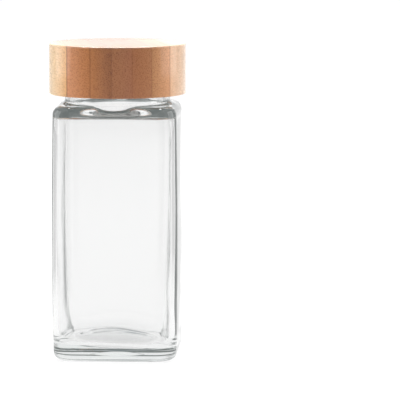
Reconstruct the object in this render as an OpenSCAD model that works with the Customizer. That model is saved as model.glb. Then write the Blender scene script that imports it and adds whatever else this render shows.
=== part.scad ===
// Square glass spice jar with a screw-on cap of laminated bamboo.
// Millimetres, +Z up. The jar stands on Z = 0 with its axis on Z, and its flat faces look along X and Y.

/* [Glass body] */
// Width of the square body from flat face to flat face
body_w = 46; // [43:0.2:48]
// Height of the glass from its foot to its sealing rim
jar_h = 108.4; // [90:0.2:130]
// Outside radius of the four upright corners
corner_r = 8.5; // [7:0.5:11]
// Outside radius where the walls turn into the shoulder
shoulder_r = 3.2; // [2:0.2:4.4]
// Outside radius where the walls turn into the foot
heel_r = 3.2; // [2:0.2:5]
// Thickness of the glass in the flat walls
wall_t = 2.6; // [2:0.1:3.2]
// Thickness of the glass under the edge of the inside floor
base_t = 4.8; // [4:0.2:8]
// Thickness of the glass in the shoulder
shoulder_t = 3.4; // [2:0.2:5]
// Inside radius of the four upright corners
inner_corner_r = 7.0; // [5:0.5:9]
// Inside radius between the walls and the floor
floor_r = 5.6; // [3:0.2:7]
// Inside radius between the walls and the underside of the shoulder
inner_shoulder_r = 1.6; // [1:0.1:2]
// How far the middle of the inside floor rises
floor_rise = 1.2; // [0.4:0.1:2]

/* [Push-up under the base] */
// Diameter of the hollow under the base
punt_d = 30; // [20:1:34]
// Depth of the hollow in its middle
punt_depth = 1.8; // [0.6:0.1:2.4]

/* [Neck] */
// How far the flat walls of the body stand out beyond the neck
shoulder_w = 3.65; // [3.2:0.05:5]
// Thickness of the glass in the neck
neck_wall = 2.85; // [2.4:0.05:3.6]
// Height of the neck from the shoulder to the sealing rim
neck_h = 15.4; // [14:0.2:22]
// Radius of the blend from the shoulder up into the neck
neck_root_r = 1.4; // [0.6:0.1:1.8]
// Radius of the flare from the mouth into the body, inside
flare_r = 2.0; // [1:0.1:2.2]
// Radius that rounds the edges of the sealing rim
lip_r = 0.9; // [0.4:0.1:1.2]

/* [Shaker insert] */
// Thickness of the flange that lies on the rim, and of the sift plate
insert_t = 1.0; // [0.8:0.1:1.2]
// How far the flange stays inside the neck's outside, all round
flange_inset = 0.3; // [0.2:0.05:0.8]
// Depth of the sift plate's top below the flange's top
plate_recess = 1.8; // [1.4:0.1:3]
// Length of the plug inside the mouth
plug_h = 8; // [6:0.5:9]
// Wall of the plug
plug_wall = 1.0; // [0.8:0.1:1.4]
// Gap between the plug and the mouth
plug_gap = 0.4; // [0.3:0.05:0.5]
// Slope at the plug's lower edge, which leads it into the mouth
plug_lead = 0.5; // [0.3:0.1:0.7]
// Gap left between the plug's grip ribs and the mouth
rib_gap = 0.05; // [0.02:0.01:0.1]
// Radius of a grip rib's round edge
grip_rib_r = 0.7; // [0.6:0.05:0.9]
// Number of grip ribs down the plug
grip_rib_count = 2; // [1:1:3]
// Distance between two grip ribs
grip_rib_pitch = 2.2; // [2:0.1:2.5]
// Diameter of each sift hole
sift_d = 5; // [4.6:0.1:5.6]
// Number of sift holes in the ring round the middle one
sift_count = 6; // [4:1:8]
// Distance of the outer sift holes from the plug's wall
sift_edge = 3.6; // [2:0.2:5]

/* [Seal] */
// Thickness of the foam wad
seal_t = 1.2; // [0.8:0.1:2]
// Gap between the wad's edge and the liner, all round
seal_gap = 0.2; // [0.1:0.05:0.3]
// Break on the wad's cut edges
seal_edge = 0.2; // [0.1:0.05:0.3]

/* [Screw liner] */
// Room for the screw thread between the neck and the liner, all round
thread_room = 1.35; // [1.2:0.05:1.6]
// Wall of the liner
liner_wall = 1.0; // [0.8:0.05:1.1]
// Thickness of the liner's top
liner_top_t = 1.2; // [0.8:0.1:2]
// How far the bead that keeps the wad in stands out of the liner's wall
bead_out = 0.45; // [0.4:0.05:0.6]
// Number of upright ribs that key the liner into its glue
key_count = 12; // [8:1:16]
// How far each key rib stands out
key_out = 0.35; // [0.2:0.05:0.4]
// Radius of a key rib
key_r = 0.7; // [0.5:0.05:0.8]
// How far the liner stays up inside the cap's mouth
liner_set_up = 0.5; // [0.3:0.1:1]

/* [Bamboo cap] */
// Thickness of the bamboo round the liner
cap_wall = 2.9; // [2.4:0.1:6]
// Height of the cap
cap_h = 18.6; // [17:0.1:20]
// Thickness of the bamboo over the liner
cap_top_t = 3.2; // [2:0.1:5]
// Gap between the key ribs and the bamboo, which the glue fills
glue_gap = 0.05; // [0.05:0.05:0.2]
// Width of the first strip, at the cap's edge
first_strip_w = 4.3; // [3:0.1:9]
// Width of the last strip, at the cap's other edge
last_strip_w = 8.7; // [3:0.1:9]
// Angle of the strips to the jar's faces when the cap is closed
strip_turn = 13.3; // [-45:0.1:45]
// Break on the cap's turned edges
cap_edge = 0.4; // [0.2:0.1:0.8]

/* [Hidden] */
// Seven strips cover the cap: the first and the last one, and five between them that share the rest
STRIP_COUNT = 7;
$fn = 96;
// Overlap that lets a cutter run out through a face
cut = 1;

shoulder_z = jar_h - neck_h;
cavity_w = body_w - 2 * wall_t;
cavity_top_z = shoulder_z - shoulder_t;
// The floor's radius can't be larger than the radius of the corner that it runs round
floor_fillet_r = min(floor_r, inner_corner_r);
neck_r = body_w / 2 - shoulder_w;
mouth_r = neck_r - neck_wall;

plug_r = mouth_r - plug_gap;
plug_inner_r = plug_r - plug_wall;
sift_ring_r = plug_inner_r - sift_edge - sift_d / 2;
flange_r = neck_r - flange_inset;
flange_top_z = jar_h + insert_t;
plate_top_z = flange_top_z - plate_recess;
plug_bottom_z = jar_h - plug_h;

seal_top_z = flange_top_z + seal_t;
liner_bore_r = neck_r + thread_room;
liner_r = liner_bore_r + liner_wall;
liner_top_z = seal_top_z + liner_top_t;
seal_r = liner_bore_r - seal_gap;
cap_bore_r = liner_r + key_out + glue_gap;
cap_r = cap_bore_r + cap_wall;
strip_w = (2 * cap_r - first_strip_w - last_strip_w) / (STRIP_COUNT - 2);
cap_top_z = liner_top_z + cap_top_t;
cap_bottom_z = cap_top_z - cap_h;
liner_bottom_z = cap_bottom_z + liner_set_up;

// Radius of the sphere that makes a dome of this width and height
function dome_r(width, rise) = (pow(width / 2, 2) + pow(rise, 2)) / (2 * rise);

// Half of a block's upright section: from the axis out to half_w, with its outer edges rounded
module half_section(half_w, low_z, high_z, low_r, high_r) {
    translate([0, low_z]) square([half_w - low_r, low_r]);
    translate([0, low_z + low_r]) square([half_w, high_z - high_r - low_z - low_r]);
    translate([0, high_z - high_r]) square([half_w - high_r, high_r]);
    intersection() {
        translate([0, low_z]) square([half_w, high_z - low_z]);
        union() {
            translate([half_w - low_r, low_z + low_r]) circle(r = low_r);
            translate([half_w - high_r, high_z - high_r]) circle(r = high_r);
        }
    }
}

// Square block with rounded upright corners, whose foot and top edges are rounded all the way round:
// three straight runs of one section and a quarter turn of it in each corner
module rounded_block(w, r, low_z, high_z, low_r, high_r) {
    straight = w - 2 * r;
    rotate([90, 0, 0]) linear_extrude(height = straight, center = true) {
        half_section(w / 2, low_z, high_z, low_r, high_r);
        mirror([1, 0]) half_section(w / 2, low_z, high_z, low_r, high_r);
    }
    for (side = [0, 180])
        rotate([0, 0, side]) translate([0, straight / 2, 0]) rotate([90, 0, 90])
            linear_extrude(height = straight, center = true)
                half_section(r, low_z, high_z, low_r, high_r);
    for (corner = [0:3])
        rotate([0, 0, corner * 90]) translate([straight / 2, straight / 2, 0])
            rotate_extrude(angle = 90) half_section(r, low_z, high_z, low_r, high_r);
}

// Neck with its blend out of the shoulder and its rounded lip
module neck_section() {
    difference() {
        translate([0, shoulder_z]) square([neck_r + neck_root_r, neck_root_r]);
        translate([neck_r + neck_root_r, shoulder_z + neck_root_r]) circle(r = neck_root_r);
    }
    half_section(neck_r, shoulder_z - shoulder_t, jar_h, lip_r, lip_r);
}

// Everything that the mouth takes out of the glass, from inside the body up past the rim
module mouth_section() {
    translate([0, cavity_top_z - inner_shoulder_r]) square([mouth_r, neck_h + shoulder_t + inner_shoulder_r + cut]);
    difference() {
        translate([0, cavity_top_z]) square([mouth_r + flare_r, flare_r]);
        translate([mouth_r + flare_r, cavity_top_z + flare_r]) circle(r = flare_r);
    }
    difference() {
        translate([0, jar_h - lip_r]) square([mouth_r + lip_r, lip_r + cut]);
        translate([mouth_r + lip_r, jar_h - lip_r]) circle(r = lip_r);
    }
}

// Inside of the jar below the mouth: its floor is a low dome between rounded edges
module cavity() {
    dome_w = cavity_w - 2 * floor_fillet_r;
    floor_dome_r = dome_r(dome_w, floor_rise);
    difference() {
        rounded_block(cavity_w, inner_corner_r, base_t, cavity_top_z, floor_fillet_r, inner_shoulder_r);
        translate([0, 0, base_t + floor_rise - floor_dome_r]) sphere(r = floor_dome_r);
    }
}

// Moulded glass: the square body and its round neck, hollow, with a hollow pushed up under the base
module glass_jar() {
    punt_r = dome_r(punt_d, punt_depth);
    color([0.86, 0.91, 0.90, 0.45]) difference() {
        union() {
            rounded_block(body_w, corner_r, 0, shoulder_z, heel_r, shoulder_r);
            rotate_extrude() neck_section();
        }
        cavity();
        rotate_extrude() mouth_section();
        translate([0, 0, punt_depth - punt_r]) sphere(r = punt_r);
    }
}

// Plastic plug: a flange on the rim, a dished sift plate and a ribbed plug down the mouth
module insert_section() {
    translate([plug_inner_r, jar_h]) square([flange_r - plug_inner_r, insert_t]);
    polygon([
        [plug_inner_r, plug_bottom_z],
        [plug_r - plug_lead, plug_bottom_z],
        [plug_r, plug_bottom_z + plug_lead],
        [plug_r, flange_top_z],
        [plug_inner_r, flange_top_z]
    ]);
    translate([0, plate_top_z - insert_t]) square([plug_inner_r + plug_wall / 2, insert_t]);
    for (i = [1:grip_rib_count])
        intersection() {
            translate([mouth_r - rib_gap - grip_rib_r, jar_h - i * grip_rib_pitch]) circle(r = grip_rib_r);
            translate([plug_r - plug_wall / 2, plug_bottom_z]) square([plug_wall + plug_gap, plug_h]);
        }
}

module shaker_insert() {
    color([0.93, 0.93, 0.91]) difference() {
        rotate_extrude() insert_section();
        for (i = [0:sift_count])
            rotate([0, 0, i * 360 / sift_count]) translate([i == 0 ? 0 : sift_ring_r, 0, plate_top_z - insert_t - cut])
                cylinder(d = sift_d, h = insert_t + 2 * cut);
    }
}

// Foam wad, punched out of sheet, which the liner's bead holds in the cap
module seal_disc() {
    color([0.96, 0.96, 0.95]) rotate_extrude() polygon([
        [0, flange_top_z],
        [seal_r - seal_edge, flange_top_z],
        [seal_r, flange_top_z + seal_edge],
        [seal_r, seal_top_z - seal_edge],
        [seal_r - seal_edge, seal_top_z],
        [0, seal_top_z]
    ]);
}

// Plastic screw insert: a plain cup with a bead under the wad, keyed into the bamboo by its ribs
module screw_liner() {
    color([0.90, 0.90, 0.88]) {
        rotate_extrude() {
            translate([0, seal_top_z]) square([liner_r, liner_top_t]);
            translate([liner_bore_r, liner_bottom_z]) square([liner_wall, seal_top_z - liner_bottom_z]);
            intersection() {
                translate([liner_bore_r, flange_top_z - bead_out]) circle(r = bead_out);
                translate([liner_bore_r - bead_out, liner_bottom_z]) square([bead_out, flange_top_z - liner_bottom_z]);
            }
        }
        for (i = [1:key_count])
            rotate([0, 0, i * 360 / key_count]) translate([liner_r + key_out - key_r, 0, liner_bottom_z])
                cylinder(r = key_r, h = liner_top_z - liner_bottom_z);
    }
}

// The whole cap as it comes off the lathe, with broken edges and the bore for the liner
module turned_cap() {
    rotate_extrude() polygon([
        [0, liner_top_z],
        [cap_bore_r, liner_top_z],
        [cap_bore_r, cap_bottom_z + cap_edge],
        [cap_bore_r + cap_edge, cap_bottom_z],
        [cap_r - cap_edge, cap_bottom_z],
        [cap_r, cap_bottom_z + cap_edge],
        [cap_r, cap_top_z - cap_edge],
        [cap_r - cap_edge, cap_top_z],
        [0, cap_top_z]
    ]);
}

// Where strip i starts and ends across the cap: the two outer strips run out past the cap's edge
function strip_start(i) = i == 1 ? -cap_r - cut : -cap_r + first_strip_w + (i - 2) * strip_w;
function strip_end(i) = i == STRIP_COUNT ? cap_r + cut : strip_start(i + 1);

// Strip i of the cap, from left to right: the part of the turned cap between two glue seams
module cap_strip(i) {
    tones = ["BurlyWood", "Peru", "Sienna", "Peru", "Sienna", "Tan", "Wheat"];
    color(tones[i - 1]) intersection() {
        turned_cap();
        rotate([0, 0, strip_turn]) translate([strip_start(i), -cap_r - cut, cap_bottom_z - cut])
            cube([strip_end(i) - strip_start(i), 2 * (cap_r + cut), cap_h + 2 * cut]);
    }
}

glass_jar();
shaker_insert();
seal_disc();
screw_liner();
for (i = [1:STRIP_COUNT])
    cap_strip(i);
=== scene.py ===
# %% [markdown]
# # A square glass spice jar with a bamboo screw cap
# The jar is clear moulded glass: a square body with soft corners and a thick base, and a short
# round neck with a screw thread. Its cap is turned from seven bamboo strips glued side by side,
# with a white plastic screw liner inside. A plastic sift insert sits in the mouth.
# The CAD model comes in as a fixed frame. Every piece below is made at its own place in that
# frame, in metres, and then rides on the body that carries it.

# %% Load the frame
import math

import bmesh
import bpy
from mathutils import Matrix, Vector, noise


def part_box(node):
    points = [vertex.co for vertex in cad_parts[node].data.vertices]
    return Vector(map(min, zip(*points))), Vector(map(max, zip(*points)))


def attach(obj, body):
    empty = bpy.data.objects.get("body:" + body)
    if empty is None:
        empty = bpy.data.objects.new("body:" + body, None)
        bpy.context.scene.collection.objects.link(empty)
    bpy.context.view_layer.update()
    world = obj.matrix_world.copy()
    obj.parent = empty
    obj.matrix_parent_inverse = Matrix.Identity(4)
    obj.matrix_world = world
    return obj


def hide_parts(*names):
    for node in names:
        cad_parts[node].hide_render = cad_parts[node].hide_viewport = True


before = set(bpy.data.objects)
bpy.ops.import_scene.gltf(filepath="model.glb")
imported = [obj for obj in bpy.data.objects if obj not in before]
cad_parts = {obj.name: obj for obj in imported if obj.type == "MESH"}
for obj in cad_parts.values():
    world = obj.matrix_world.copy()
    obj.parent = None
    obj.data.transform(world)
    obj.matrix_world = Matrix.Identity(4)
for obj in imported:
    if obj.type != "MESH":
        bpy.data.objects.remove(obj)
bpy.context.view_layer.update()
MM = 0.001

# %% [markdown]
# ## The camera
# The photo was taken with a long lens from a little above the cap, so that upright lines stay
# upright and the cap's top is a thin ellipse. The jar stands a few degrees turned, in the left
# half of the picture, so the camera looks at a point to the right of the jar's axis.

# %% Place the camera
VIEW_AZIMUTH = math.radians(4.5)     # how far the camera stands round to the jar's right
CAMERA_REACH = 1.30                  # level distance from the jar's axis
CAMERA_HEIGHT = 0.205
AIM_ASIDE = 30.24 * MM               # the photo's middle, to the right of the jar's axis
AIM_HEIGHT = 56.95 * MM
FILM_WIDTH = 36                      # a camera's film and lens are given in millimetres
LENS = 320
SIGHT = 50                           # metres, well past the edge of the floor

scene = bpy.context.scene
camera_data = bpy.data.cameras.new("photo_camera")
camera_data.sensor_width = FILM_WIDTH
camera_data.lens = LENS
camera_data.clip_end = SIGHT
camera = bpy.data.objects.new("photo_camera", camera_data)
scene.collection.objects.link(camera)
towards_right = Vector((math.cos(VIEW_AZIMUTH), math.sin(VIEW_AZIMUTH), 0))
towards_camera = Vector((math.sin(VIEW_AZIMUTH), -math.cos(VIEW_AZIMUTH), 0))
camera.location = towards_camera * CAMERA_REACH + Vector((0, 0, CAMERA_HEIGHT))
aim = towards_right * AIM_ASIDE + Vector((0, 0, AIM_HEIGHT))
camera.rotation_euler = (aim - camera.location).to_track_quat("-Z", "Y").to_euler()
scene.camera = camera
print("camera at", [round(c, 3) for c in camera.location])

# %% [markdown]
# ## Colours and nodes
# Colours are written as the hex values that a colour picker shows, so one function turns them
# into the linear values that shaders work with. A second function adds a shader node, sets it
# and wires it up, so that each material reads as a short list of what it is made of.

# %% Helpers for materials
def linear(hex_colour):
    """The linear RGBA values of an sRGB hex colour."""
    shares = [int(hex_colour[i:i + 2], 16) / 255 for i in (1, 3, 5)]
    return [c / 12.92 if c <= 0.04045 else ((c + 0.055) / 1.055) ** 2.4 for c in shares] + [1]


def add_node(tree, kind, settings=None, **inputs):
    """Adds a node. Settings are its own properties. Inputs are values, or sockets to link, by
    the input's name with _ for each space, or by its number after a _."""
    node = tree.nodes.new(kind)
    for name, value in (settings or {}).items():
        setattr(node, name, value)
    for name, value in inputs.items():
        socket = node.inputs[int(name[1:]) if name[1:].isdigit() else name.replace("_", " ")]
        if isinstance(value, bpy.types.NodeSocket):
            tree.links.new(value, socket)
        else:
            socket.default_value = value
    return node


def new_material(name, **inputs):
    """A material whose Principled shader has these inputs, with its node tree and that shader."""
    material = bpy.data.materials.new(name)
    material.use_nodes = True
    tree = material.node_tree
    tree.nodes.clear()
    shader = add_node(tree, "ShaderNodeBsdfPrincipled", **inputs)
    add_node(tree, "ShaderNodeOutputMaterial", Surface=shader.outputs["BSDF"])
    print("material", name)
    return material, tree, shader


def set_ramp(node, stops):
    """Gives a colour ramp its stops, as (place, colour) pairs in order."""
    elements = node.color_ramp.elements
    while len(elements) > 1:
        elements.remove(elements[-1])
    for number, (place, colour) in enumerate(stops):
        element = elements[0] if number == 0 else elements.new(place)
        element.position = place
        element.color = colour


# %% [markdown]
# ## The ground and the grey cards
# The photo has a plain white ground. The floor glows white for the camera and for what glass
# and gloss show of it, and under that glow it is an ordinary pale floor, which keeps a little
# of the jar's shadow. The Light Path node says which kind of ray is looking.
# Clear glass would hardly show on plain white. So a photographer stands grey cards round it, and
# the glass bends their image into dark lines along its edges. Here the cards are only a shade of
# the floor and the room: grey towards the jar's corners and white towards its flat faces.

# %% Helpers for the surround
def seen_by(tree, *kinds):
    """1 for the kinds of ray that are named, and 0 for the others."""
    light_path = add_node(tree, "ShaderNodeLightPath")
    seen = light_path.outputs[kinds[0]]
    for kind in kinds[1:]:
        either = add_node(tree, "ShaderNodeMath", {"operation": "MAXIMUM"},
                          _0=seen, _1=light_path.outputs[kind])
        seen = either.outputs[0]
    return seen


def off_axis(tree, spot):
    """How far spot lies from the jar's axis, to the side or to the front, whichever is more."""
    size = add_node(tree, "ShaderNodeVectorMath", {"operation": "ABSOLUTE"}, _0=spot)
    axes = add_node(tree, "ShaderNodeSeparateXYZ", Vector=size.outputs[0])
    longer = add_node(tree, "ShaderNodeMath", {"operation": "MAXIMUM"},
                      _0=axes.outputs["X"], _1=axes.outputs["Y"])
    return longer.outputs[0]


# %% Grey cards
CARD_GREY = 0.6
CARD_WHOLE = 0.84                    # a card is whole at this cosine of the angle from a face
CARD_GONE = 0.94                     # and has ended at this one


def card_shade(tree, spot, from_reach, to_reach):
    """How bright the surround is in the direction of spot. It is white within from_reach of the
    axis, and the cards are whole from to_reach on."""
    level = add_node(tree, "ShaderNodeVectorMath", {"operation": "MULTIPLY"}, _0=spot, _1=(1, 1, 0))
    reach = add_node(tree, "ShaderNodeVectorMath", {"operation": "LENGTH"}, _0=level.outputs[0])
    facing = add_node(tree, "ShaderNodeMath", {"operation": "DIVIDE"},
                      _0=off_axis(tree, spot), _1=reach.outputs["Value"])
    shade = add_node(tree, "ShaderNodeMapRange", {"interpolation_type": "SMOOTHSTEP"},
                     Value=facing.outputs[0], From_Min=CARD_WHOLE, From_Max=CARD_GONE,
                     To_Min=CARD_GREY, To_Max=1.0)
    near = add_node(tree, "ShaderNodeMapRange", {"interpolation_type": "SMOOTHSTEP"},
                    Value=reach.outputs["Value"], From_Min=from_reach, From_Max=to_reach,
                    To_Min=1.0, To_Max=0.0)
    bright = add_node(tree, "ShaderNodeMath", {"operation": "MAXIMUM"},
                      _0=shade.outputs[0], _1=near.outputs[0])
    return bright.outputs[0]


# %% Floor
FLOOR_HALF = 12.0

floor_mesh = bmesh.new()
bmesh.ops.create_grid(floor_mesh, x_segments=1, y_segments=1, size=FLOOR_HALF)
floor_data = bpy.data.meshes.new("floor")
floor_mesh.to_mesh(floor_data)
floor_mesh.free()
floor = bpy.data.objects.new("floor", floor_data)
scene.collection.objects.link(floor)
print("floor", 2 * FLOOR_HALF, "m square")

# %% Paper for the floor
# White uncoated paper: matt, so it scatters the light evenly and shows no reflection.
FLOOR_GLOW = 0.92                    # share of the glow: the rest is paper in the lamps' light
UNDER_JAR_GLOW = 0.8
UNDER_JAR_TO = 18.0 * MM             # distance off the axis
BESIDE_JAR_FROM = 22.5 * MM
FLOOR_WHITE = 1.06                   # what the camera sees: a little past white, so it is even
FLOOR_CARDS_FROM = 0.12
FLOOR_CARDS_TO = 0.35

paper, tree, shader = new_material("white_paper_ground", Base_Color=linear("#F2F2F2"), Roughness=0.9)
spot = add_node(tree, "ShaderNodeTexCoord").outputs["Object"]
glow_here = add_node(tree, "ShaderNodeMapRange", {"interpolation_type": "SMOOTHSTEP"},
                     Value=off_axis(tree, spot), From_Min=UNDER_JAR_TO, From_Max=BESIDE_JAR_FROM,
                     To_Min=UNDER_JAR_GLOW, To_Max=FLOOR_GLOW)
glow = add_node(tree, "ShaderNodeMath", {"operation": "MULTIPLY"}, _1=glow_here.outputs[0],
                _0=seen_by(tree, "Is Camera Ray", "Is Glossy Ray", "Is Transmission Ray"))
brightness = add_node(tree, "ShaderNodeMix", {"data_type": "FLOAT"}, _0=seen_by(tree, "Is Camera Ray"),
                      _2=card_shade(tree, spot, FLOOR_CARDS_FROM, FLOOR_CARDS_TO), _3=FLOOR_WHITE)
emission = add_node(tree, "ShaderNodeEmission", Strength=brightness.outputs[0])
surface = add_node(tree, "ShaderNodeMixShader", _0=glow.outputs[0],
                   _1=shader.outputs[0], _2=emission.outputs[0])
tree.links.new(surface.outputs[0], tree.nodes["Material Output"].inputs["Surface"])
floor_data.materials.append(paper)

# %% [markdown]
# ## The room and the lamps
# Three soft lamps light the jar, one from each side and one from above and behind, and the room
# adds an even fill. What glass and gloss show of the room is white low down and grey overhead:
# the dark band in the glass's shoulder is that grey. The camera itself sees plain white.

# %% Room
CEILING_FROM = 0.30                  # the white starts to darken where a direction rises by this
CEILING_TO = 0.65
CEILING_SLOPE = 1.3                  # how much higher the white reaches towards the sides
CEILING_GREY = "#7C868C"
ROOM_CARDS_FROM = 0.01               # the cards leave out what is straight overhead
ROOM_CARDS_TO = 0.02
ROOM_FILL = 0.50
WHITE = linear("#FFFFFF")

scene.view_settings.view_transform = "Standard"
world = bpy.data.worlds.new("studio")
scene.world = world
world.use_nodes = True
tree = world.node_tree
tree.nodes.clear()
direction = add_node(tree, "ShaderNodeTexCoord").outputs["Generated"]
parts = add_node(tree, "ShaderNodeSeparateXYZ", Vector=direction)
sideways = add_node(tree, "ShaderNodeMath", {"operation": "ABSOLUTE"}, _0=parts.outputs["X"])
rise = add_node(tree, "ShaderNodeMath", {"operation": "MULTIPLY_ADD"},
                _0=sideways.outputs[0], _1=-CEILING_SLOPE, _2=parts.outputs["Z"])
ceiling = add_node(tree, "ShaderNodeValToRGB", Fac=rise.outputs[0])
set_ramp(ceiling, [(0.0, WHITE), (CEILING_FROM, WHITE), (CEILING_TO, linear(CEILING_GREY))])
around = add_node(tree, "ShaderNodeVectorMath", {"operation": "SCALE"}, _0=ceiling.outputs["Color"],
                  Scale=card_shade(tree, direction, ROOM_CARDS_FROM, ROOM_CARDS_TO))
soft_fill = add_node(tree, "ShaderNodeBackground", Color=WHITE, Strength=ROOM_FILL)
seen_room = add_node(tree, "ShaderNodeBackground", Color=around.outputs[0], Strength=1.0)
plain_white = add_node(tree, "ShaderNodeBackground", Color=WHITE, Strength=1.0)
behind_jar = add_node(tree, "ShaderNodeMixShader",
                      _0=seen_by(tree, "Is Glossy Ray", "Is Transmission Ray"),
                      _1=soft_fill.outputs[0], _2=seen_room.outputs[0])
room = add_node(tree, "ShaderNodeMixShader", _0=seen_by(tree, "Is Camera Ray"),
                _1=behind_jar.outputs[0], _2=plain_white.outputs[0])
add_node(tree, "ShaderNodeOutputWorld", Surface=room.outputs[0])
print("room fill", ROOM_FILL)

# %% Lamps
LAMP_SIZE = 0.6
LAMP_AIM = Vector((0, 0, 0.06))      # about the middle of the jar
SOFTBOXES = {                        # place in metres, and power in watts
    "softbox_left": ((-0.75, 0.15, 0.30), 1.7),
    "softbox_right": ((0.75, 0.15, 0.30), 1.7),
    "softbox_above": ((0.0, 0.45, 0.9), 18),
}


def add_softbox(name, place, watts):
    """A square soft lamp that faces the jar, and isn't seen through the glass."""
    lamp_data = bpy.data.lights.new(name, "AREA")
    lamp_data.size = LAMP_SIZE
    lamp_data.energy = watts
    lamp = bpy.data.objects.new(name, lamp_data)
    scene.collection.objects.link(lamp)
    lamp.location = place
    lamp.rotation_euler = (LAMP_AIM - Vector(place)).to_track_quat("-Z", "Y").to_euler()
    lamp.visible_transmission = False
    print(name, watts, "W")


for softbox, (place, watts) in SOFTBOXES.items():
    add_softbox(softbox, place, watts)

# %% [markdown]
# ## Making a skin ring by ring
# The glass is one closed skin, inside and out. It starts as a small ring of points and is
# extruded again and again; each new ring is put in its place by its angle round the axis. The
# same way makes the liner, whose wall has a thread, because a thread is only a small step in and
# out that climbs with the angle. A section spun round the axis would make only round pieces.

# %% Grow a skin
RING = 240                           # points in a ring
POLE_R = 0.6 * MM                    # the first and last ring, which is drawn together to a point


def start_skin(height, crowd):
    """A new mesh with one small ring. Crowd draws its points towards the four corners."""
    skin = bmesh.new()
    bmesh.ops.create_circle(skin, segments=RING, radius=POLE_R)
    for vert in skin.verts:
        angle = math.atan2(vert.co.y, vert.co.x)
        angle += crowd * math.sin(4 * angle)
        vert.co = POLE_R * math.cos(angle), POLE_R * math.sin(angle), height
    return skin, list(skin.edges)


def grow(skin, ring, steps, place):
    """Extrudes the ring in steps. place(share, angle) gives each point's reach and height."""
    for step in range(1, steps + 1):
        made = bmesh.ops.extrude_edge_only(skin, edges=ring)["geom"]
        verts = {part for part in made if isinstance(part, bmesh.types.BMVert)}
        ring = [part for part in made if isinstance(part, bmesh.types.BMEdge)
                and part.verts[0] in verts and part.verts[1] in verts]
        for vert in verts:
            angle = math.atan2(vert.co.y, vert.co.x)
            reach, height = place(step / steps, angle)
            vert.co = reach * math.cos(angle), reach * math.sin(angle), height
    return ring


def close_ring(skin, ring, height):
    """Draws a ring together to one point on the axis."""
    made = bmesh.ops.extrude_edge_only(skin, edges=ring)["geom"]
    verts = [part for part in made if isinstance(part, bmesh.types.BMVert)]
    bmesh.ops.pointmerge(skin, verts=verts, merge_co=(0, 0, height))


def grow_skin(zones, start_height, end_height, crowd=0.0):
    """A closed skin. Each zone is a number of rings and the function that places them."""
    skin, first_ring = start_skin(start_height, crowd)
    ring = first_ring
    for steps, place in zones:
        ring = grow(skin, ring, steps, place)
    close_ring(skin, ring, end_height)
    close_ring(skin, first_ring, start_height)
    return skin


# %% Turn a mesh into a piece
def finish_piece(skin, name, material, sharp_angle=40):
    """Turns a closed mesh into an object with outward faces and smooth shading."""
    bmesh.ops.recalc_face_normals(skin, faces=skin.faces)
    data = bpy.data.meshes.new(name)
    skin.to_mesh(data)
    skin.free()
    data.shade_smooth()
    data.set_sharp_from_angle(angle=math.radians(sharp_angle))
    data.materials.append(material)
    piece = bpy.data.objects.new(name, data)
    scene.collection.objects.link(piece)
    print(name, len(data.vertices), "points,", len(data.polygons), "faces")
    return piece


# %% Blend values
def mix_values(start, end, share):
    """The value that lies a share of the way from start to end."""
    return start + (end - start) * share


def ease(share):
    """A share from 0 to 1 that starts and stops slowly."""
    share = min(max(share, 0), 1)
    return share * share * (3 - 2 * share)


def fade_ends(share, start, end):
    """Rises from 0 to 1 over the first 1/start of the way, and falls back over the last 1/end."""
    return ease(share * start) * ease((1 - share) * end)


def soft_max(a, b, blend):
    """The larger of two heights, with the crease between them rounded."""
    return (a + b + math.sqrt((a - b) ** 2 + blend ** 2)) / 2


# %% [markdown]
# ## The screw thread
# The neck has one raised thread that climbs to the right, 4 mm for each turn, and the liner has
# the same thread on its inside, half a turn's climb lower. Turning the cap once lifts it by the
# same 4 mm, so the two threads never meet. The ends of a moulded thread run out softly.

# %% Thread
THREAD_CLIMB = 4.0 * MM
THREAD_START = math.radians(-150)    # the angle at which both threads start
THREAD_RUN_OUT = math.radians(22)
FLANK = 1.6                          # above 1, a ridge has steeper sides and a flat crest


def ridge(off, half_width, out):
    """How far a rounded ridge stands out, at a distance off to the side of its middle."""
    return out * ease(FLANK * (1 - off / half_width))


def thread_height(angle, height, start_height, turns, out, width):
    """How far a thread stands out at this angle and height."""
    best = 0.0
    for lap in range(math.ceil(turns) + 1):
        travelled = angle + lap * math.tau - THREAD_START
        if 0 <= travelled <= turns * math.tau:
            run_out = ease(min(travelled, turns * math.tau - travelled) / THREAD_RUN_OUT)
            off = abs(height - start_height - THREAD_CLIMB * travelled / math.tau)
            best = max(best, run_out * ridge(off, width / 2, out))
    return best


# %% [markdown]
# ## Outside of the glass
# A jar like this is blown in a mould: the outside follows the mould, a little fuller in the
# middle than at the ends. Under the foot is the punt, a shallow dome that keeps the jar from
# rocking. Each function below places one zone of the skin, in the order in which it is grown:
# from the middle of the base outwards and up to the lip.

# %% Sizes of the outside
glass_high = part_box("glass_jar")[1]
BODY_HALF = glass_high.x
JAR_TOP = glass_high.z
CORNER_R = 8.5 * MM
BODY_CORE = BODY_HALF - CORNER_R     # half of the straight part of a side
WIDEST_Z = 45.0 * MM
BULGE = 0.45 * MM                    # the foot's side lies this far inside the widest place
PUNT_R = 15.0 * MM
PUNT_DEPTH = 1.8 * MM
PUNT_EDGE = 1.5 * MM                 # the punt's rim runs out over this width
PUNT_CREASE = 0.25 * MM
HEEL_R = 3.2 * MM
SHOULDER_Z = 93.0 * MM
SHOULDER_R = 3.2 * MM
SHOULDER_CREASE = 0.5 * MM
NECK_R = 19.35 * MM
NECK_ROOT = 1.4 * MM                 # radius between the neck and the shoulder
MOUTH_R = 16.5 * MM
LIP_R = 0.9 * MM
NECK_THREAD = {"start_height": 100.0 * MM, "turns": 1.35, "out": 1.1 * MM, "width": 1.9 * MM}
OUTER_WAVE = (0.05 * MM, 16 * MM, 3.0)   # depth, length and seed
WAVE_STRETCH = 0.45                  # below 1, waves are longer up the wall than round it
print("body", round(2 * BODY_HALF / MM, 2), "mm wide, jar", round(JAR_TOP / MM, 2), "mm high")


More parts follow.
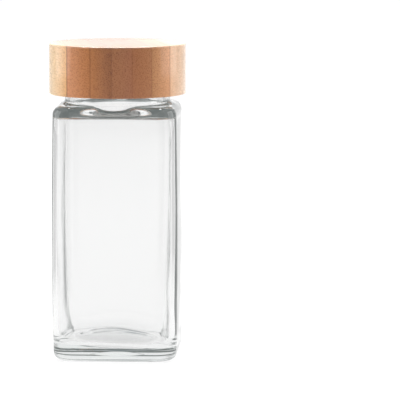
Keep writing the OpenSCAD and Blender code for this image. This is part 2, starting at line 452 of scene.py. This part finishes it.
# %% Rounded squares and waves
def square_reach(angle, half, core):
    """Distance from the axis to the edge of a square with rounded corners."""
    turn = abs((angle + math.pi / 4) % (math.pi / 2) - math.pi / 4)
    if half * math.tan(turn) <= core:
        return half / math.cos(turn)
    along = core * (math.cos(turn) + math.sin(turn))
    return along + math.sqrt((half - core) ** 2 - 2 * core ** 2 + along ** 2)


def depth_in_square(angle, reach, half, core):
    """How deep a point lies inside the rounded square, square to its nearest side."""
    x, y = abs(reach * math.cos(angle)), abs(reach * math.sin(angle))
    past = math.hypot(max(x - core, 0), max(y - core, 0)) + min(max(x - core, y - core), 0)
    return half - core - past


def wave(angle, reach, height, length, seed):
    """Smooth unevenness of blown glass, from -1 to 1, the same on every run."""
    spot = Vector((reach * math.cos(angle), reach * math.sin(angle), height * WAVE_STRETCH)) / length
    return noise.noise(spot + Vector((seed, 0, 0)))


def outer_half(height):
    """Half of the body's width: fullest a little below the middle."""
    return BODY_HALF - BULGE * ((height - WIDEST_Z) / WIDEST_Z) ** 2


# %% Base and wall
def punt(share, angle):
    """A shallow dome under the base, whose rim ends level with the foot."""
    reach = mix_values(POLE_R, PUNT_R + PUNT_EDGE, share)
    radius = (PUNT_R ** 2 + PUNT_DEPTH ** 2) / (2 * PUNT_DEPTH)
    dome = PUNT_DEPTH - radius + math.sqrt(radius ** 2 - reach ** 2)
    return reach, soft_max(dome, 0, PUNT_CREASE) * (1 - ease(share) ** 12)


def foot(share, angle):
    """The flat ring that the jar stands on, from round to square."""
    edge = square_reach(angle, outer_half(0) - HEEL_R, BODY_CORE)
    return mix_values(PUNT_R + PUNT_EDGE, edge, share), 0.0


def heel(share, angle):
    """The rounded edge between the foot and the wall."""
    turn = share * math.pi / 2
    half = outer_half(0) - HEEL_R + HEEL_R * math.sin(turn)
    return square_reach(angle, half, BODY_CORE), HEEL_R * (1 - math.cos(turn))


def outer_wall(share, angle):
    """The wall, with faint waves that only dip inwards and die out at both ends."""
    height = mix_values(HEEL_R, SHOULDER_Z - SHOULDER_R, share)
    half = mix_values(outer_half(0), outer_half(height), ease(share * 12))
    reach = square_reach(angle, half, BODY_CORE)
    depth, length, seed = OUTER_WAVE
    dip = depth * (1 + wave(angle, reach, height, length, seed))
    return reach - fade_ends(share, 8, 8) * dip, height


# %% Shoulder, neck and lip
def shoulder(share, angle):
    """From the square wall to the round neck: rounded at the wall, and hollowed at the neck."""
    half = outer_half(SHOULDER_Z - SHOULDER_R)
    wall = square_reach(angle, half, BODY_CORE)
    reach = mix_values(wall, NECK_R, (1 - math.cos(share * math.pi)) / 2)
    depth = min(depth_in_square(angle, reach, half, BODY_CORE), SHOULDER_R)
    rise = math.sqrt(max(SHOULDER_R ** 2 - (SHOULDER_R - depth) ** 2, 0))
    top = SHOULDER_Z - SHOULDER_R + rise
    off = min(max(NECK_R + NECK_ROOT - reach, 0), NECK_ROOT)
    root = SHOULDER_Z + NECK_ROOT - math.sqrt(NECK_ROOT ** 2 - off ** 2)
    root -= 2 * max(reach - NECK_R - NECK_ROOT, 0)     # further out, only the shoulder counts
    return reach, soft_max(top, root, SHOULDER_CREASE * fade_ends(share, 4, 6))


def neck(share, angle):
    """The round neck with its thread."""
    height = mix_values(SHOULDER_Z + NECK_ROOT, JAR_TOP - LIP_R, share)
    return NECK_R + thread_height(angle, height, **NECK_THREAD), height


def lip(share, angle):
    """Over the rim, from the neck's outside to the mouth."""
    turn = share * math.pi
    middle = (NECK_R + MOUTH_R) / 2
    side = (NECK_R - MOUTH_R) / 2
    reach = middle + (side - LIP_R) * (1 - 2 * ease(share)) + LIP_R * math.cos(turn)
    return reach, JAR_TOP - LIP_R + LIP_R * math.sin(turn)


# %% [markdown]
# ## Inside of the glass
# The inside is free while the glass is blown, so it is wavy, and the glass is thicker low down.
# Those small waves are what bends the light and draws the lines seen in the walls. The hollow's
# floor is an oval, with a long bend up to the wall. From the lip, the zones go down again to the
# middle of that floor.

# %% Sizes of the hollow
FLARE_R = 0.5 * MM                   # rounds the mouth's lower edge
HOLLOW_TOP = 90.1 * MM
LEVEL_R = 16.0 * MM                  # the hollow's top starts to bend down here
INNER_SHOULDER_DROP = 1.63 * MM
FLOOR_Z = 4.5 * MM
FLOOR_HALF_X = 17.2 * MM
FLOOR_HALF_Y = 14.2 * MM
FLOOR_LEAN = 0.04                    # the floor's slope, down to the right
FLOOR_RISE = 0.3 * MM
BEND_AT_SIDES = 8.0 * MM             # how high the bend from the floor to the wall climbs
BEND_IN_FRONT = 13.0 * MM
FULLNESS_AT_SIDES = 1.9              # above 1, the bend fills its corner more than an ellipse
FULLNESS_IN_FRONT = 1.0
INNER_WAVES = [(0.2 * MM, 22 * MM, 11.0), (0.04 * MM, 7 * MM, 5.0)]   # depth, length and seed
WALL_STOPS = [(20, 2.2), (60, 1.85), (85, 1.75)]     # thickness, each at a height, all in mm
CORE_STOPS = [(9, 13), (20, 14), (84, 14.5)]         # half of the straight part of a side
ASIDE_STOPS = [(30, 0.5), (60, 0.2), (82, 0.0)]      # how far the hollow sits to the left
print("hollow from", round(FLOOR_Z / MM, 2), "to", round(HOLLOW_TOP / MM, 2), "mm")


# %% Walls of the hollow
def by_height(height, stops):
    """A value that goes smoothly from stop to stop, each a pair of height in mm and value in mm."""
    height /= MM
    for (low, start), (high, end) in zip(stops, stops[1:]):
        if height < high:
            return mix_values(start, end, ease((height - low) / (high - low))) * MM
    return stops[-1][1] * MM


def hollow_reach(angle, height):
    """Distance from the axis to the inner wall. Low down the hollow sits a little to the left,
    so the left wall is thinner."""
    half = outer_half(height) - by_height(height, WALL_STOPS)
    core = by_height(height, CORE_STOPS)
    return square_reach(angle, half, core) - by_height(height, ASIDE_STOPS) * math.cos(angle)


def mouth(share, angle):
    """Straight down inside the neck."""
    return MOUTH_R, mix_values(JAR_TOP - LIP_R, HOLLOW_TOP + FLARE_R, share)


def flare(share, angle):
    """The rounded edge where the mouth opens into the hollow."""
    turn = share * math.pi / 2
    return MOUTH_R + FLARE_R * (1 - math.cos(turn)), HOLLOW_TOP + FLARE_R * (1 - math.sin(turn))


def under_shoulder(share, angle):
    """From the flare to the wall: nearly level, then bending down ever more."""
    wall = hollow_reach(angle, HOLLOW_TOP)
    reach = mix_values(MOUTH_R + FLARE_R, wall, math.sin(share * math.pi / 2))
    bend = max(1 - (wall - reach) / (wall - LEVEL_R), 0)
    return reach, HOLLOW_TOP - INNER_SHOULDER_DROP * (1 - math.sqrt(1 - bend ** 2))


def inner_wall(share, angle):
    """The wall, with its long and short waves, which die out at both ends."""
    height = mix_values(HOLLOW_TOP - INNER_SHOULDER_DROP, FLOOR_Z + bend_height(angle), share)
    reach = hollow_reach(angle, mix_values(HOLLOW_TOP, height, ease(share * 14)))
    uneven = sum(depth * wave(angle, reach, height, length, seed) for depth, length, seed in INNER_WAVES)
    return reach + fade_ends(share, 14, 8) * uneven, height


# %% Floor of the hollow
def frontness(angle):
    """1 straight in front and behind, and 0 at the sides."""
    return math.sin(angle) ** 4


def bend_height(angle):
    """How high the floor's bend climbs: higher in front and behind than at the sides."""
    return mix_values(BEND_AT_SIDES, BEND_IN_FRONT, frontness(angle))


def floor_edge(share, angle):
    """The wall bends in a long curve to the floor, which is an oval with hardly any corner left."""
    turn = share * math.pi / 2
    rim = FLOOR_Z + bend_height(angle)
    wall = hollow_reach(angle, rim)
    oval = 1 / math.hypot(math.cos(angle) / FLOOR_HALF_X, math.sin(angle) / FLOOR_HALF_Y)
    fullness = mix_values(FULLNESS_AT_SIDES, FULLNESS_IN_FRONT, frontness(angle))
    reach = mix_values(wall, oval, (1 - math.cos(turn)) ** fullness)
    lean = FLOOR_LEAN * reach * math.cos(angle) * ease(share)
    return reach, rim - bend_height(angle) * math.sin(turn) - lean


def floor_dome(share, angle):
    """From the floor's edge to its middle, which stands a little higher."""
    edge, level = floor_edge(1, angle)
    reach = mix_values(edge, POLE_R, share)
    return reach, mix_values(FLOOR_Z, level, reach / edge) + FLOOR_RISE * ease(1 - (reach / edge) ** 2)


# %% [markdown]
# ## The glass as a material
# It is soda-lime glass from a polished mould: clear and glossy, with a slight ripple, and a
# faint green where the light runs a long way through it, which an absorbing volume gives.
# Light that enters the shoulder runs round and round inside the neck before it gets out, more
# often than a renderer follows it. So the glass adds a little light to a ray that has been
# turned back inside it several times, in place of what that ray would have found outside.

# %% Glass material
TURNED_BACK = 3.5                    # a ray turned back more often than this has the afterglow
AFTERGLOW = 0.12
RIPPLE = 9.0 * MM
RIPPLE_DEPTH = 0.02 * MM

clear_glass, tree, shader = new_material(
    "soda_lime_glass_moulded", Base_Color=linear("#F7F7F7"), Roughness=0.0, IOR=1.52,
    Transmission_Weight=1.0, Emission_Color=linear("#E4ECEA"))
light_path = add_node(tree, "ShaderNodeLightPath")
trapped = add_node(tree, "ShaderNodeMath", {"operation": "GREATER_THAN"},
                   _0=light_path.outputs["Glossy Depth"], _1=TURNED_BACK)
afterglow = add_node(tree, "ShaderNodeMath", {"operation": "MULTIPLY"},
                     _0=trapped.outputs[0], _1=AFTERGLOW)
tree.links.new(afterglow.outputs[0], shader.inputs["Emission Strength"])
spot = add_node(tree, "ShaderNodeTexCoord").outputs["Object"]
ripple = add_node(tree, "ShaderNodeTexNoise", Vector=spot, Scale=1 / RIPPLE, Detail=1.0)
bump = add_node(tree, "ShaderNodeBump", Height=ripple.outputs["Fac"], Distance=RIPPLE_DEPTH, Strength=0.5)
tree.links.new(bump.outputs["Normal"], shader.inputs["Normal"])
green = add_node(tree, "ShaderNodeVolumeAbsorption", Color=linear("#C6D2D0"), Density=8.0)
tree.links.new(green.outputs[0], tree.nodes["Material Output"].inputs["Volume"])

# %% Build the glass
CORNER_CROWD = 0.15
GLASS_ZONES = [
    (14, punt), (5, foot), (10, heel), (56, outer_wall), (20, shoulder), (46, neck), (12, lip),
    (14, mouth), (5, flare), (14, under_shoulder), (56, inner_wall), (18, floor_edge),
    (12, floor_dome),
]
skin = grow_skin(GLASS_ZONES, PUNT_DEPTH, FLOOR_Z + FLOOR_RISE, CORNER_CROWD)
glass = finish_piece(skin, "glass_body", clear_glass, sharp_angle=80)
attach(glass, "jar")
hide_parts("glass_jar")

# %% [markdown]
# ## Bamboo
# The cap is laminated bamboo. Each strip is cut from the wall of a cane, so its end grain shows
# dark fibre bundles as dots, crowded towards the side that was the cane's skin, and along the
# grain the same bundles show as streaks. The dots are drawn coarser than real ones, so that they
# show. The finish is a thin satin lacquer. Each strip has its own tone, with painted light in it:
# the outer strips painted paler, the middle ones darker, and the flat top a paler painted highlight.

# %% Sizes of the cap and its strips
cap_low, cap_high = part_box("cap_strip_4")
CAP_BOTTOM = cap_low.z
CAP_TOP = cap_high.z
CAP_R = 25.0 * MM
CAP_BORE = 22.1 * MM
CAP_ROOF = 111.8 * MM                # underside of the cap's solid top
CAP_EASE = 0.5 * MM                  # radius of the eased edges
STRIP_TURN = math.radians(13.3)      # how far the strips are turned from the jar's front
SEAMS = [-20.7, -13.3, -5.9, 1.5, 8.9, 16.3]         # across the strips, in mm
SEAM_BROWN = "#7A4424"
# The steps at the seams are the strips' own tones. The paleness towards the two outer strips and the
# darker middle are painted light: the side lamps and gloss brighten the cap's sides more than its front.
STRIP_TONES_AND_PAINTED_LIGHT = [                      # at each strip's left and right edge
    ("#EACAA0", "#DCA468"), ("#CA8656", "#B4723F"), ("#B47442", "#8E5428"), ("#9C6236", "#9E623C"),
    ("#A0643C", "#A86E44"), ("#B07848", "#CC9060"), ("#D8A880", "#E6CAB0"),
]
STRIP_FIBRES = [                     # how strongly the dots show there
    (0.25, 0.35), (0.35, 0.55), (0.5, 1.0), (0.9, 0.6), (0.6, 0.75), (0.6, 0.4), (0.3, 0.2),
]
print("cap", 2 * CAP_R / MM, "mm across, in", len(SEAMS) + 1, "strips")

# %% Ramps across the strips
SEAM_LINE = 0.003                    # half of a drawn glue line, as a share of the cap's width
SEAM_STEP = 0.0005                   # half of a plain step from strip to strip


def strip_stops(pairs, as_colour, seam_colour=None):
    """Ramp stops that hold each strip's two edges, with a hard step or a thin line at each seam."""
    places = [0.0] + [(seam * MM + CAP_R) / (2 * CAP_R) for seam in SEAMS] + [1.0]
    margin = SEAM_LINE if seam_colour else SEAM_STEP
    stops = []
    for (left, right), start, end in zip(pairs, places, places[1:]):
        stops += [(start + margin, as_colour(left)), (end - margin, as_colour(right))]
        if seam_colour and end < 1:
            stops += [(end, as_colour(seam_colour))]
    return stops


# %% Bamboo: its tones and its grain
DOT_SIZE = 0.5 * MM                  # distance between fibre bundles
DOT_LENGTH = 55.0 * MM               # longer than the cap is wide, so a bundle runs through it
GRAIN_WIDTH = 0.5 * MM
GRAIN_LENGTH = 30.0 * MM

bamboo, tree, shader = new_material(
    "laminated_bamboo_lacquered", Roughness=0.5, Specular_IOR_Level=0.2,
    Coat_Weight=0.8, Coat_Roughness=0.12)
spot = add_node(tree, "ShaderNodeTexCoord").outputs["Object"]
along = add_node(tree, "ShaderNodeMapping", {"vector_type": "POINT"}, Vector=spot,
                 Rotation=(0, 0, -STRIP_TURN))
across = add_node(tree, "ShaderNodeSeparateXYZ", Vector=along.outputs[0])
cap_share = add_node(tree, "ShaderNodeMapRange", Value=across.outputs["X"],
                     From_Min=-CAP_R, From_Max=CAP_R)
# The strips' own tones, with painted light mixed in: paler outer strips and a darker middle.
tone = add_node(tree, "ShaderNodeValToRGB", Fac=cap_share.outputs[0])
set_ramp(tone, strip_stops(STRIP_TONES_AND_PAINTED_LIGHT, linear, SEAM_BROWN))
grain_at = add_node(tree, "ShaderNodeVectorMath", {"operation": "MULTIPLY"}, _0=along.outputs[0],
                    _1=(1 / GRAIN_WIDTH, 1 / GRAIN_LENGTH, 1 / GRAIN_WIDTH))
grain = add_node(tree, "ShaderNodeTexNoise", Vector=grain_at.outputs[0], Scale=1.0, Detail=3.0)
grain_tone = add_node(tree, "ShaderNodeMapRange", Value=grain.outputs["Fac"],
                      From_Min=0.3, From_Max=0.7, To_Min=0.88, To_Max=1.08)
wood = add_node(tree, "ShaderNodeVectorMath", {"operation": "SCALE"},
                _0=tone.outputs["Color"], Scale=grain_tone.outputs[0])

# %% Bamboo: its fibre bundles
density = add_node(tree, "ShaderNodeValToRGB", Fac=cap_share.outputs[0])
set_ramp(density, strip_stops(STRIP_FIBRES, lambda v: (v, v, v, 1)))
bundles_at = add_node(tree, "ShaderNodeVectorMath", {"operation": "MULTIPLY"}, _0=along.outputs[0],
                      _1=(1 / DOT_SIZE, 1 / DOT_LENGTH, 1 / DOT_SIZE))
bundles = add_node(tree, "ShaderNodeTexVoronoi", Vector=bundles_at.outputs[0], Scale=1.0, Randomness=0.9)
dot = add_node(tree, "ShaderNodeMapRange", {"interpolation_type": "SMOOTHSTEP"},
               Value=bundles.outputs["Distance"], From_Min=0.20, From_Max=0.42, To_Min=1.0, To_Max=0.0)
dark = add_node(tree, "ShaderNodeMath", {"operation": "MULTIPLY"},
                _0=dot.outputs[0], _1=density.outputs[0])
fibre = add_node(tree, "ShaderNodeMix", {"data_type": "RGBA", "blend_type": "MULTIPLY"},
                 Factor=dark.outputs[0], _6=wood.outputs[0], _7=linear("#B58C6C"))
bump = add_node(tree, "ShaderNodeBump", {"invert": True}, Height=dot.outputs[0],
                Distance=0.03 * MM, Strength=0.4)
tree.links.new(bump.outputs["Normal"], shader.inputs["Normal"])

# %% Bamboo: its top, painted paler as a highlight
# Painted highlight: near the flat top's face the colour is mixed towards pale cream, a painted reflection
# of the bright surround in the top.
TOP_PAINTED_HIGHLIGHT = 0.2
painted_top_highlight = add_node(tree, "ShaderNodeMapRange", Value=across.outputs["Z"], To_Max=TOP_PAINTED_HIGHLIGHT,
                    From_Min=CAP_TOP - 0.7 * MM, From_Max=CAP_TOP - 0.1 * MM)
# pale is the colour with the painted highlight on the top.
pale = add_node(tree, "ShaderNodeMix", {"data_type": "RGBA"}, Factor=painted_top_highlight.outputs[0],
                _6=fibre.outputs[2], _7=linear("#F8ECD8"))
tree.links.new(pale.outputs[2], shader.inputs["Base Color"])
print("bamboo has", len(tree.nodes), "nodes")

# %% [markdown]
# ## Turning and sawing the cap
# The real strips are glued first and the block is turned after, so they meet face to face in
# flat seams. Here too, one section is spun to a whole cap, and each strip is a copy of it with
# the rest sawn off. Each cut is closed again, so that every strip is a solid of its own.

# %% Turn the cap
SPIN_STEPS = 180
TOUCHING = 1e-7                      # points that lie closer than this are one


def rounded(corner, start, end, radius, steps=4):
    """Points of a quarter circle that rounds the corner between two level or upright edges."""
    first = Vector(corner) + (Vector(start) - Vector(corner)).normalized() * radius
    last = Vector(corner) + (Vector(end) - Vector(corner)).normalized() * radius
    middle = first + last - Vector(corner)
    points = []
    for step in range(steps + 1):
        turn = step / steps * math.pi / 2
        points.append(middle + (first - middle) * math.cos(turn) + (last - middle) * math.sin(turn))
    return points


section = [Vector((0, CAP_ROOF)), Vector((CAP_BORE, CAP_ROOF))]
section += rounded((CAP_BORE, CAP_BOTTOM), (CAP_BORE, CAP_TOP), (CAP_R, CAP_BOTTOM), CAP_EASE)
section += rounded((CAP_R, CAP_BOTTOM), (CAP_BORE, CAP_BOTTOM), (CAP_R, CAP_TOP), CAP_EASE)
section += rounded((CAP_R, CAP_TOP), (CAP_R, CAP_BOTTOM), (0, CAP_TOP), CAP_EASE)
section += [Vector((0, CAP_TOP))]

turned = bmesh.new()
verts = [turned.verts.new((point.x, 0, point.y)) for point in section]
edges = [turned.edges.new(pair) for pair in zip(verts, verts[1:])]
bmesh.ops.spin(turned, geom=verts + edges, cent=(0, 0, 0), axis=(0, 0, 1), angle=math.tau,
               steps=SPIN_STEPS, use_merge=True)
bmesh.ops.remove_doubles(turned, verts=turned.verts, dist=TOUCHING)
bmesh.ops.recalc_face_normals(turned, faces=turned.faces)
print("turned cap:", len(turned.verts), "points")

# %% Saw it into its strips
seam_normal = Vector((math.cos(STRIP_TURN), math.sin(STRIP_TURN), 0))


def saw(strip, seam, **side):
    """Cuts a strip along a seam, takes the named side away and closes the cut."""
    whole = strip.verts[:] + strip.edges[:] + strip.faces[:]
    cut = bmesh.ops.bisect_plane(strip, geom=whole, dist=TOUCHING, plane_no=seam_normal,
                                 plane_co=seam_normal * seam * MM, **side)
    sawn = [part for part in cut["geom_cut"] if isinstance(part, bmesh.types.BMEdge)]
    filled = bmesh.ops.holes_fill(strip, edges=sawn, sides=0)["faces"]
    bmesh.ops.triangulate(strip, faces=filled)


for number in range(len(SEAMS) + 1):
    strip = turned.copy()
    if number > 0:
        saw(strip, SEAMS[number - 1], clear_inner=True)
    if number < len(SEAMS):
        saw(strip, SEAMS[number], clear_outer=True)
    piece = finish_piece(strip, f"bamboo_strip_{number + 1}", bamboo, sharp_angle=30)
    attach(piece, "cap")
    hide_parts(f"cap_strip_{number + 1}")
turned.free()

# %% [markdown]
# ## Plastic and foam
# The liner is moulded polypropylene and the insert moulded polyethylene, both white and a little
# glossy, with faint clouds where the melt flowed. The wad is punched from a sheet of
# polyethylene foam, which is matt. The insert and the wad keep their meshes from the CAD model.

# %% Plastic and foam materials
CLOUD_SIZE = 6.0 * MM
CLOUD_SHADE = 0.95


def white_polymer(name, colour, roughness):
    """A white plastic or foam with faint darker clouds."""
    material, tree, shader = new_material(name, Roughness=roughness, IOR=1.49)
    spot = add_node(tree, "ShaderNodeTexCoord").outputs["Object"]
    cloud = add_node(tree, "ShaderNodeTexNoise", Vector=spot, Scale=1 / CLOUD_SIZE, Detail=2.0)
    tone = add_node(tree, "ShaderNodeValToRGB", Fac=cloud.outputs["Fac"])
    darker = [c * CLOUD_SHADE for c in linear(colour)[:3]] + [1]
    set_ramp(tone, [(0.35, linear(colour)), (0.7, darker)])
    tree.links.new(tone.outputs["Color"], shader.inputs["Base Color"])
    return material


white_plastic = white_polymer("polypropylene_moulded", "#EDEDEA", 0.32)
soft_plastic = white_polymer("polyethylene_moulded", "#EFEFEC", 0.42)
foam = white_polymer("polyethylene_foam_punched", "#F4F4F1", 0.85)
for node, material in (("shaker_insert", soft_plastic), ("seal_disc", foam)):
    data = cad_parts[node].data
    data.materials.clear()
    data.materials.append(material)

# %% [markdown]
# ## Screw liner
# The liner is a plastic cup that is glued into the bamboo. Twelve small ribs on its outside key
# into the glue, the thread runs round its inside, and a bead above the thread keeps the wad in
# place. It is grown as one skin, in the way of the glass.

# %% Sizes of the liner
LINER_BORE = 20.7 * MM
LINER_R = 21.7 * MM
LINER_TOP = CAP_ROOF
LINER_ROOF = 110.6 * MM
LINER_BOTTOM = 96.9 * MM
KEYS = 12
KEY_HALF = 0.62 * MM
KEY_OUT = 0.35 * MM
BEAD_Z = 108.95 * MM
BEAD_R = 0.45 * MM
LINER_THREAD = {"start_height": 98.0 * MM, "turns": 1.5, "out": 1.0 * MM, "width": 1.5 * MM}
print("liner wall", round((LINER_R - LINER_BORE) / MM, 2), "mm")


# %% Zones of the liner
def liner_top(share, angle):
    """The flat disc against the bamboo."""
    return mix_values(POLE_R, LINER_R, share), LINER_TOP


def liner_outside(share, angle):
    """The outside, with its ribs."""
    off = abs((angle + math.pi / KEYS) % (math.tau / KEYS) - math.pi / KEYS)
    key = ridge(off * LINER_R, KEY_HALF, KEY_OUT)
    return LINER_R + key, mix_values(LINER_TOP, LINER_BOTTOM, share)


def liner_rim(share, angle):
    """The flat edge at the bottom."""
    half = (LINER_R - LINER_BORE) / 2
    return (LINER_R + LINER_BORE) / 2 + half * math.cos(share * math.pi), LINER_BOTTOM


def liner_inside(share, angle):
    """The bore, with its thread and its bead."""
    height = mix_values(LINER_BOTTOM, LINER_ROOF, share)
    thread = thread_height(angle, height, **LINER_THREAD)
    bead = ridge(abs(height - BEAD_Z), BEAD_R, BEAD_R)
    return LINER_BORE - max(thread, bead), height


def liner_roof(share, angle):
    """The flat disc over the wad."""
    return mix_values(LINER_BORE, POLE_R, share), LINER_ROOF


# %% Build the liner
LINER_ZONES = [(6, liner_top), (1, liner_outside), (4, liner_rim), (68, liner_inside), (6, liner_roof)]
skin = grow_skin(LINER_ZONES, LINER_TOP, LINER_ROOF)
liner = finish_piece(skin, "threaded_liner", white_plastic)
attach(liner, "cap")
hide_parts("screw_liner")
